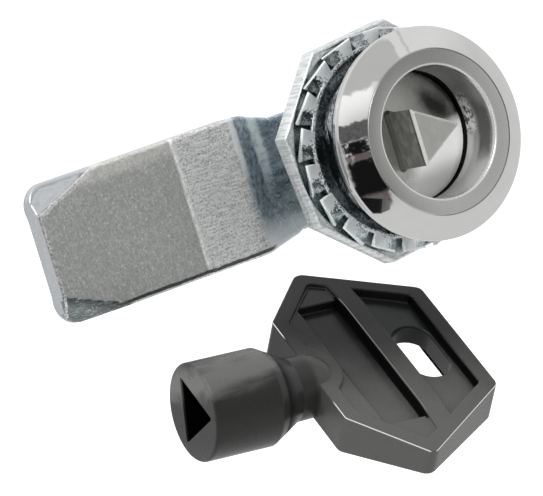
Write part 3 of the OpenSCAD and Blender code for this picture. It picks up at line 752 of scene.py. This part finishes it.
steel = Finish("spring_steel", **{"Metallic": 1.0})
scale = steel.grain(0.3, detail=4, rough=0.65)
steel.feed(
    Base_Color=scale.blend((0.36, 0.37, 0.38, 1), (0.56, 0.57, 0.58, 1)),
    Roughness=0.26 + scale * 0.2,
    Normal=steel.bumped(scale, 0.02))
as_piece("split_washer", *lofted(split_section, [(8 + 344 * k / 80,) for k in range(81)]),
         steel.material, "turning_set", "spring_steel", replaces=("spring_washer",), angle=40)


def screw_profile(angle):
    """The screw's side: point, threaded shank, underside, flats and the chamfered crown."""
    flats = 5.0 / math.cos(math.radians(angle % 60 - 30))
    shank_r, head_y, crown_y = 2.95, 23.8, 27.75
    side = [(0, 11.8), (2.25, 11.8)]
    for k in range(49):
        y = 12.4 + 8.6 * k / 48
        side.append((shank_r - 0.5 * thread_wave(y, angle, 1.0), y))
    return side + [
        (shank_r, 21.5), (shank_r, 23.75), (4.85, 23.75), (4.88, head_y), (flats - 0.06, head_y),
        (flats, 23.88), (flats, crown_y - (flats - 4.7) * 0.56), (4.7, crown_y), (4.3, 27.72),
        (4.1, 27.55), (0, 27.52)]


screw_turns = sorted([k * 5 for k in range(72)] + [k * 60 + d for k in range(6) for d in (1, 59)])
as_piece("cam_bolt", *turned(screw_profile, screw_turns), zinc.material,
         "turning_set", "zinc_plate", replaces=("cam_screw",), angle=28)


# The toothed washer. A ring of spring steel with nineteen teeth cut round its edge, each
# twisted about its own radius so that one corner bites the panel and one the nut.
tooth_zinc = Finish("tooth_zinc")
burr = tooth_zinc.grain(0.35, detail=4, rough=0.6)
tooth_tint = tooth_zinc.grain(2.4, detail=2)
tooth_reach = (tooth_zinc.x * tooth_zinc.x + tooth_zinc.z * tooth_zinc.z).root()
# Painted light on the teeth: near-white painted highlights at their front ends, a painted highlight
# along their tips and painted shade on their rear halves.
tooth_front_glint = (tooth_zinc.y + burr * 0.9).rise(6.30, 6.08) * (tooth_reach + burr * 0.8).rise(12.85, 13.05)
tooth_tip_highlight = tooth_reach.rise(14.42, 14.56)
tooth_root = (tooth_reach + burr * 0.4).rise(13.3, 12.9)
tooth_rear_shade = (tooth_zinc.y + burr * 0.6).rise(6.3, 6.7)
tooth_tone = (burr * 0.6 + tooth_tint * 0.4).rise(0.36, 0.62)
tooth_tone = tooth_tone.blend((0.17, 0.21, 0.22, 1), (0.86, 0.92, 0.94, 1))
tooth_tone = (tooth_rear_shade * 0.8).blend(tooth_tone, (0.10, 0.13, 0.13, 1))
# Painted shade: the ring and the teeth's roots are painted dark as shade behind the flange, with
# lighter patches.
root_tone = (burr * 0.5 + tooth_tint * 0.5).rise(0.40, 0.60)
root_tone = root_tone.blend((0.045, 0.055, 0.058, 1), (0.62, 0.68, 0.70, 1))
tooth_tone = (tooth_root * 0.8).blend(tooth_tone, root_tone)
tooth_tone = (tooth_tip_highlight * 0.9).blend(tooth_tone, (0.82, 0.88, 0.88, 1))
tooth_zinc.feed(
    Base_Color=tooth_front_glint.blend(tooth_tone, (0.94, 0.99, 1.0, 1)),
    Roughness=0.12 + burr * 0.16 + tooth_front_glint * 0.10,
    Metallic=1 - tooth_front_glint * 0.95,
    Normal=tooth_zinc.bumped(burr, 0.035))
washer_rule = bpy.data.node_groups.new("toothed_washer_rule", "GeometryNodeTree")
washer_rule.is_modifier = True
washer_sizes = {
    "Teeth": 19, "First Tooth": math.radians(15), "Twist": math.radians(21),
    "Inner Radius": 11.25, "Ring Radius": 13.0, "Tooth Radius": 14.7, "Root Width": 3.0,
    "Tip Width": 4.6, "Thickness": 0.6, "Place": 6.0, "Unevenness": math.radians(1.6), "Seed": 4,
}
for size_name, size in washer_sizes.items():
    size_kind = "NodeSocketInt" if isinstance(size, int) else "NodeSocketFloat"
    washer_rule.interface.new_socket(size_name, in_out="INPUT", socket_type=size_kind)
washer_rule.interface.new_socket("Finish", in_out="INPUT", socket_type="NodeSocketMaterial")
washer_rule.interface.new_socket("Geometry", in_out="OUTPUT", socket_type="NodeSocketGeometry")
rule = Tree(washer_rule)
given_node = rule.node("NodeGroupInput", out=None)
given = {plug.name: Socket(rule, plug) for plug in given_node.outputs if plug.name}


def edges_rounded(thing, width, angle):
    """Rounds the edges that are sharper than angle and settles the mesh."""
    easing = thing.modifiers.new("easing", "BEVEL")
    easing.width = width
    easing.segments = 3
    easing.limit_method = "ANGLE"
    easing.angle_limit = math.radians(angle)
    easing.use_clamp_overlap = False
    return settled(thing)


def vector(x=0.0, y=0.0, z=0.0):
    return rule.node("ShaderNodeCombineXYZ", values={0: x, 1: y, 2: z})


mm = 0.001
ring_line = rule.node("GeometryNodeCurvePrimitiveCircle", values={
    "Resolution": 144, "Radius": (given["Inner Radius"] + given["Ring Radius"]) * (0.5 * mm)})
ring_edge = rule.node("GeometryNodeCurvePrimitiveQuadrilateral", values={
    "Width": (given["Ring Radius"] - given["Inner Radius"]) * mm, "Height": given["Thickness"] * mm})
flat_ring = rule.node("GeometryNodeCurveToMesh", values={
    "Curve": ring_line, "Profile Curve": ring_edge})
flat_ring = rule.node("GeometryNodeTransform", values={
    "Geometry": flat_ring, "Rotation": (math.pi / 2, 0, 0),
    "Translation": vector(y=given["Place"] * mm)})

# One tooth is a bar whose ends widen and turn about its length; then it is set round.
root_at = given["Ring Radius"] - 0.9
tooth_long = given["Tooth Radius"] - root_at
bar = rule.node("GeometryNodeMeshCube", values={
    "Size": vector(tooth_long * mm, 1.0, given["Thickness"] * mm),
    "Vertices X": 9, "Vertices Y": 5, "Vertices Z": 2})
bar_x, bar_y, bar_z = rule.parts(rule.node("GeometryNodeInputPosition"))
out = bar_x / (tooth_long * mm) + 0.5
eased = out * out * (3 - 2 * out)
wide = bar_y * (given["Root Width"] + (given["Tip Width"] - given["Root Width"]) * out) * mm
lean = given["Twist"] * eased
bar_place = vector(
    bar_x + (root_at + given["Tooth Radius"]) * (0.5 * mm),
    wide * lean.math("SINE") - bar_z * lean.math("COSINE"),
    wide * lean.math("COSINE") + bar_z * lean.math("SINE"))
one_tooth = rule.node("GeometryNodeSetPosition", values={"Geometry": bar, "Position": bar_place})
seats = rule.node("GeometryNodePoints", values={
    "Count": given["Teeth"], "Position": vector(y=given["Place"] * mm)})
number = rule.node("GeometryNodeInputIndex")
uneven = rule.node("FunctionNodeRandomValue", {"data_type": "FLOAT"}, {
    "Min": -given["Unevenness"], "Max": given["Unevenness"], "ID": number, "Seed": given["Seed"]})
around = -given["First Tooth"] - number * (2 * math.pi) / given["Teeth"]
teeth = rule.node("GeometryNodeInstanceOnPoints", values={
    "Points": seats, "Instance": one_tooth, "Rotation": vector(uneven, around, 0.0)})
washer_parts = rule.node("GeometryNodeJoinGeometry", out=None)
for part in (flat_ring, teeth):
    washer_rule.links.new(part.plug, washer_parts.inputs[0])
whole_washer = rule.node("GeometryNodeRealizeInstances", values={
    "Geometry": Socket(rule, washer_parts.outputs[0])})
whole_washer = rule.node("GeometryNodeSetMaterial", values={
    "Geometry": whole_washer, "Material": given["Finish"]})
rule.node("NodeGroupOutput", values={"Geometry": whole_washer}, out=None)

washer_blank = in_scene("washer_blank", bpy.data.meshes.new("washer_blank"))
stamping = washer_blank.modifiers.new("stamping", "NODES")
stamping.node_group = washer_rule
for item in washer_rule.interface.items_tree:
    if item.in_out == "INPUT":
        stamping[item.identifier] = washer_sizes.get(item.name, tooth_zinc.material)
washer_mesh = edges_rounded(washer_blank, 0.11 * mm, 40).data
bpy.data.objects.remove(washer_blank)
dressed("toothed_washer", washer_mesh, tooth_zinc.material, "lock_washer",
        replaces=("tooth_washer",), angle=50)


# The nut. Eight sides, punched from zinc-plated plate: each side has a smooth sheared
# band behind the front edge and a rough torn band behind that. The bore is threaded.
nut_front, nut_rear, bore_edge, first_corner = 7.2, 10.2, 11.5, 28


def nut_profile(angle):
    """The nut's section at one angle: front, side, rear and threaded bore."""
    side = 14.8 / math.cos(math.radians((angle - first_corner) % 45 - 22.5))
    thread = []
    for k in range(17):
        y = 10.0 - 2.6 * k / 16
        thread.append((11.06 + 0.5 * thread_wave(y, angle), y))
    plate_edge = softened([
        (side, nut_front, 0.35), (side, nut_rear, 0.12), (bore_edge, nut_rear, 0)], steps=4)
    return [(bore_edge, nut_front)] + plate_edge[:-1] + [(bore_edge, nut_rear)] + thread


nut_zinc = Finish("punched_zinc")
nut_reach = (nut_zinc.x * nut_zinc.x + nut_zinc.z * nut_zinc.z).root()
face = nut_zinc.grain(0.5, detail=4, rough=0.6)
torn_edge = nut_zinc.grain(2.0, detail=2)
torn = ((nut_zinc.y + torn_edge * 0.8).rise(9.2, 9.5) * nut_reach.rise(14.6, 14.75)
        * (0.15 + nut_zinc.z.rise(2.0, -2.0) * 0.85))
tear = nut_zinc.grain(0.22, detail=4, rough=0.75)
streak = nut_zinc.grain(0.35, detail=3, stretch=(1, 0.12, 1))
on_side = nut_reach.rise(14.62, 14.74) * nut_zinc.y.rise(7.3, 7.5)
plate = face.blend((0.32, 0.38, 0.38, 1), (0.56, 0.60, 0.60, 1))
plate = on_side.blend(plate, streak.rise(0.35, 0.6).blend((0.58, 0.61, 0.61, 1), (0.86, 0.88, 0.88, 1)))
nut_zinc.feed(
    Base_Color=(torn * tear.rise(0.42, 0.58)).blend(plate, (0.38, 0.40, 0.40, 1)),
    Roughness=0.20 + face * 0.14 + on_side * 0.12 + torn * 0.10,
    Metallic=1 - on_side * 0.55,
    Normal=nut_zinc.bumped(face * 0.25 + streak * 0.35 + tear * torn, 0.06))
nut_turns = sorted([k * 2.5 for k in range(144)] + [first_corner + 45 * k for k in range(8)])
as_piece("octagon_nut_punched", *turned(nut_profile, nut_turns), nut_zinc.material,
         "nut", "nut_zinc", replaces=("octagon_nut",), angle=30)


# The key. A loose moulding in black glass-filled plastic: a hexagonal bow with pockets on
# both faces and a slot for a ring, a short stem, and a socket with a triangular hole.
plastic = Finish("black_moulding", **{"Specular IOR Level": 0.24})
peel = plastic.grain(0.22, detail=3)
flow = plastic.grain(6.0, detail=3)
bow_corners = [(10.8, 9.5), (2.7, 18.0), (-10.8, 9.8), (-10.8, -9.8), (2.7, -18.0), (10.8, -9.5)]
key_place = (Matrix.Translation((-29.8, -22.2, -23.6)) @ Matrix.Rotation(math.radians(175.8), 4, "Z")
             @ Matrix.Rotation(math.radians(-6.4), 4, "Y") @ Matrix.Rotation(math.radians(-41), 4, "X"))

# Places in the key's own frame, and the depth below the front face of its bow.
to_key = key_place.inverted()
own = [plastic.x * row[0] + plastic.y * row[1] + plastic.z * row[2] + row[3] for row in to_key[:3]]
below = 2.75 - (abs(own[1]) - 9.5).most(0.0) * 0.106 - own[2]

# Painted highlights: light lines along three of the bow's edges, and along the bar across it.
bow_edge_highlights = None
for (x, y), (nx, ny) in zip(bow_corners[-1:] + bow_corners[:2], bow_corners[:3]):
    run = math.hypot(nx - x, ny - y)
    inside = own[0] * ((y - ny) / run) + own[1] * ((nx - x) / run) - (x * (y - ny) + y * (nx - x)) / run
    line = abs(abs(inside) - below).rise(0.12, 0.05) * (abs(inside) + abs(below)).rise(0.32, 0.25)
    bow_edge_highlights = line if bow_edge_highlights is None else bow_edge_highlights.most(line)
across = (own[1] * own[1] + own[2] * own[2]).root()
bow_edge_highlights = bow_edge_highlights * across.rise(6.5, 7.5)
bar_highlight = abs(own[0] - 0.3).rise(0.13, 0.07) * abs(below).rise(0.2, 0.1) * abs(own[1]).rise(11.5, 11.0)
sunk = below.rise(0.9, 1.4) * abs(own[0]).rise(10.6, 10.2)
barrel_side = own[0].rise(14.0, 17.0)
brushed = plastic.grain(1.6, detail=3, stretch=(0.25, 1, 1))
# Painted shading: the black runs from darker to lighter across the bow, with cloudy wander.
tone = (own[1] + own[0] * 0.25 + flow * 9).rise(-2.0, 19.0)
black = tone.blend((0.008, 0.0085, 0.008, 1), (0.105, 0.105, 0.101, 1))
shaded = sunk * (own[1] + flow * 5).rise(7.0, -2.0) * own[0].rise(-1.5, -3.0)
black = shaded.blend(black, (0.008, 0.009, 0.009, 1))
lit = (abs(plastic.z + brushed * 3 + 15.6).rise(2.9, 0.5)
       + (plastic.z + brushed * 2).rise(-22.5, -27.5) * 0.30)
black = own[0].rise(10.6, 11.4).blend(black, (0.028, 0.028, 0.027, 1))
black = barrel_side.blend(black, lit.blend((0.024, 0.024, 0.023, 1), (0.140, 0.140, 0.136, 1)))
# Painted shade: the socket's triangular hole is painted black and made metallic, so it reflects almost
# nothing.
deep_hole = across.rise(5.7, 5.4) * own[0].rise(26.4, 26.1) * barrel_side
black = deep_hole.blend(black, grey(0.002))
# Painted shade: two pocket walls on the bow are painted black and made metallic.
deep_wall = abs(own[0] - 0.3).rise(0.34, 0.20) * abs(own[1]).rise(12.3, 11.8)
rim_wall = abs(own[0] + 8.8).rise(0.34, 0.20) * abs(own[1]).rise(10.3, 9.9)
pocket_wall = (deep_wall + rim_wall).least(1.0) * below.rise(0.22, 0.40)
black = (pocket_wall * 0.95).blend(black, grey(0.003))
black = bar_highlight.blend(black, (0.20, 0.20, 0.195, 1))
black = bow_edge_highlights.blend(black, (0.80, 0.80, 0.78, 1))
plastic.feed(
    Base_Color=black,
    Roughness=0.20 + flow * 0.08 + peel * 0.06 + deep_hole * 0.6 + pocket_wall * 0.6,
    Metallic=(deep_hole + pocket_wall).least(1.0) * 0.85,
    Normal=plastic.bumped(peel, 0.014))


def drawn_in(corners, width):
    """The outline's corners moved inwards by a width."""
    moved = []
    for i, corner in enumerate(corners):
        here = Vector(corner)
        back = (Vector(corners[i - 1]) - here).normalized()
        on = (Vector(corners[(i + 1) % len(corners)]) - here).normalized()
        moved.append(here + (back + on).normalized() * width / math.sin(back.angle(on) / 2))
    return moved


def solid(name, verts, faces, merge_within=0.0):
    """A closed block for the key's mould, in millimetres."""
    return in_scene(name, formed(name, verts, faces, merge_within))


def prism(name, outline):
    """A block with this outline, tall enough to pass through the bow."""
    return solid(name, *lofted(lambda z: [(x, y, z) for x, y in outline], [(-4.0,), (4.0,)]))


def core(name, layer):
    """All of the bow's thickness less an even layer; the tips are thinner than the middle."""
    section = [(-18.01, 1.85 - layer), (-9.5, 2.75 - layer), (9.5, 2.75 - layer), (18.01, 1.85 - layer)]
    section += [(y, -z) for y, z in reversed(section)]
    return solid(name, *lofted(lambda x: [(x, y, z) for y, z in section], [(-14,), (14,)]))


def cut(block, tool, operation="DIFFERENCE"):
    step = block.modifiers.new("cut", "BOOLEAN")
    step.operation = operation
    step.solver = "EXACT"
    step.object = tool
    settled(block)
    bpy.data.objects.remove(tool)
    return block


def clipped(points, limit, side):
    """The part of a convex outline above the limit in x, or below it where side is -1."""
    kept = []
    for i, (x, y) in enumerate(points):
        nx, ny = points[(i + 1) % len(points)]
        a, b = side * (x - limit), side * (nx - limit)
        if a >= 0:
            kept.append((x, y))
        if a * b < 0:
            kept.append((x + (nx - x) * a / (a - b), y + (ny - y) * a / (a - b)))
    return kept


def arc(x, y, radius, angles):
    return [(x + radius * math.cos(math.radians(a)), y + radius * math.sin(math.radians(a)))
            for a in angles]


rim = softened([(x, y, 0.7) for x, y in drawn_in(bow_corners, 2.0)], steps=4)
bow = prism("bow", softened([(x, y, 1.4) for x, y in bow_corners], steps=6))
cut(bow, core("faces", 0.0), "INTERSECT")
groove_x, groove_end = 0.3, 11.5
groove = [(groove_x, -groove_end), (6.1, -groove_end), (6.1, groove_end), (groove_x, groove_end)]
for depth, outline, collared in (
    (0.5, clipped(rim, groove_x, 1), True),
    (1.75, groove, True),
    (1.35, clipped(rim, -2.4, -1), False),
):
    tool = cut(prism("tool", outline), core("kept", depth))
    if collared:
        tool = cut(tool, prism("collar", arc(11.5, 0, 5.0, [7.5 * k for k in range(48)])))
    cut(bow, tool)
slot = arc(-5.6, 2.25, 2.6, range(0, 180, 12))
cut(bow, prism("slot", slot + [(-11.2 - x, -y) for x, y in slot]))
edges_rounded(bow, 0.245, 32)

# The stem and socket, turned about the key's own axis.
socket_r, socket_end = 6.2, 26.5
stem_side = [(10.8 - x, y) for x, y in arc(0, 0, 4.0, range(0, 91, 6))] + softened([
    (11.2, 4.0, 0), (13.2, 4.05, 0.5), (17.2, socket_r, 0.5), (socket_end, socket_r, 0.4),
    (socket_end, 0, 0)], steps=5)
rounds, count = 96, len(stem_side)
stem_verts, stem_faces = [], []
for k in range(rounds):
    a = 2 * math.pi * k / rounds
    stem_verts += [(x, r * math.cos(a), r * math.sin(a)) for x, r in stem_side]
    for i in range(count - 1):
        here, beside = k * count + i, (k + 1) % rounds * count + i
        stem_faces.append((here, here + 1, beside + 1, beside))
stem = solid("stem", stem_verts, stem_faces, merge_within=1e-4)
hole = softened([(x, y, 0.25) for x, y in arc(0, 0, 4.91, (180, 300, 60))], steps=4)
cut(stem, solid("hole", *lofted(lambda x: [(x, y, z) for z, y in hole], [(18.3,), (27.3,)])))

key_form = bmesh.new()
for half in (bow, stem):
    key_form.from_mesh(half.data)
    bpy.data.objects.remove(half)
bmesh.ops.recalc_face_normals(key_form, faces=key_form.faces)
key_mesh = bpy.data.meshes.new("moulded_key")
key_form.to_mesh(key_mesh)
key_form.free()
key_mesh.transform(Matrix.Scale(0.001, 4) @ key_place)
dressed("moulded_key", key_mesh, plastic.material, "loose_key",
        replaces=("key",), angle=40)
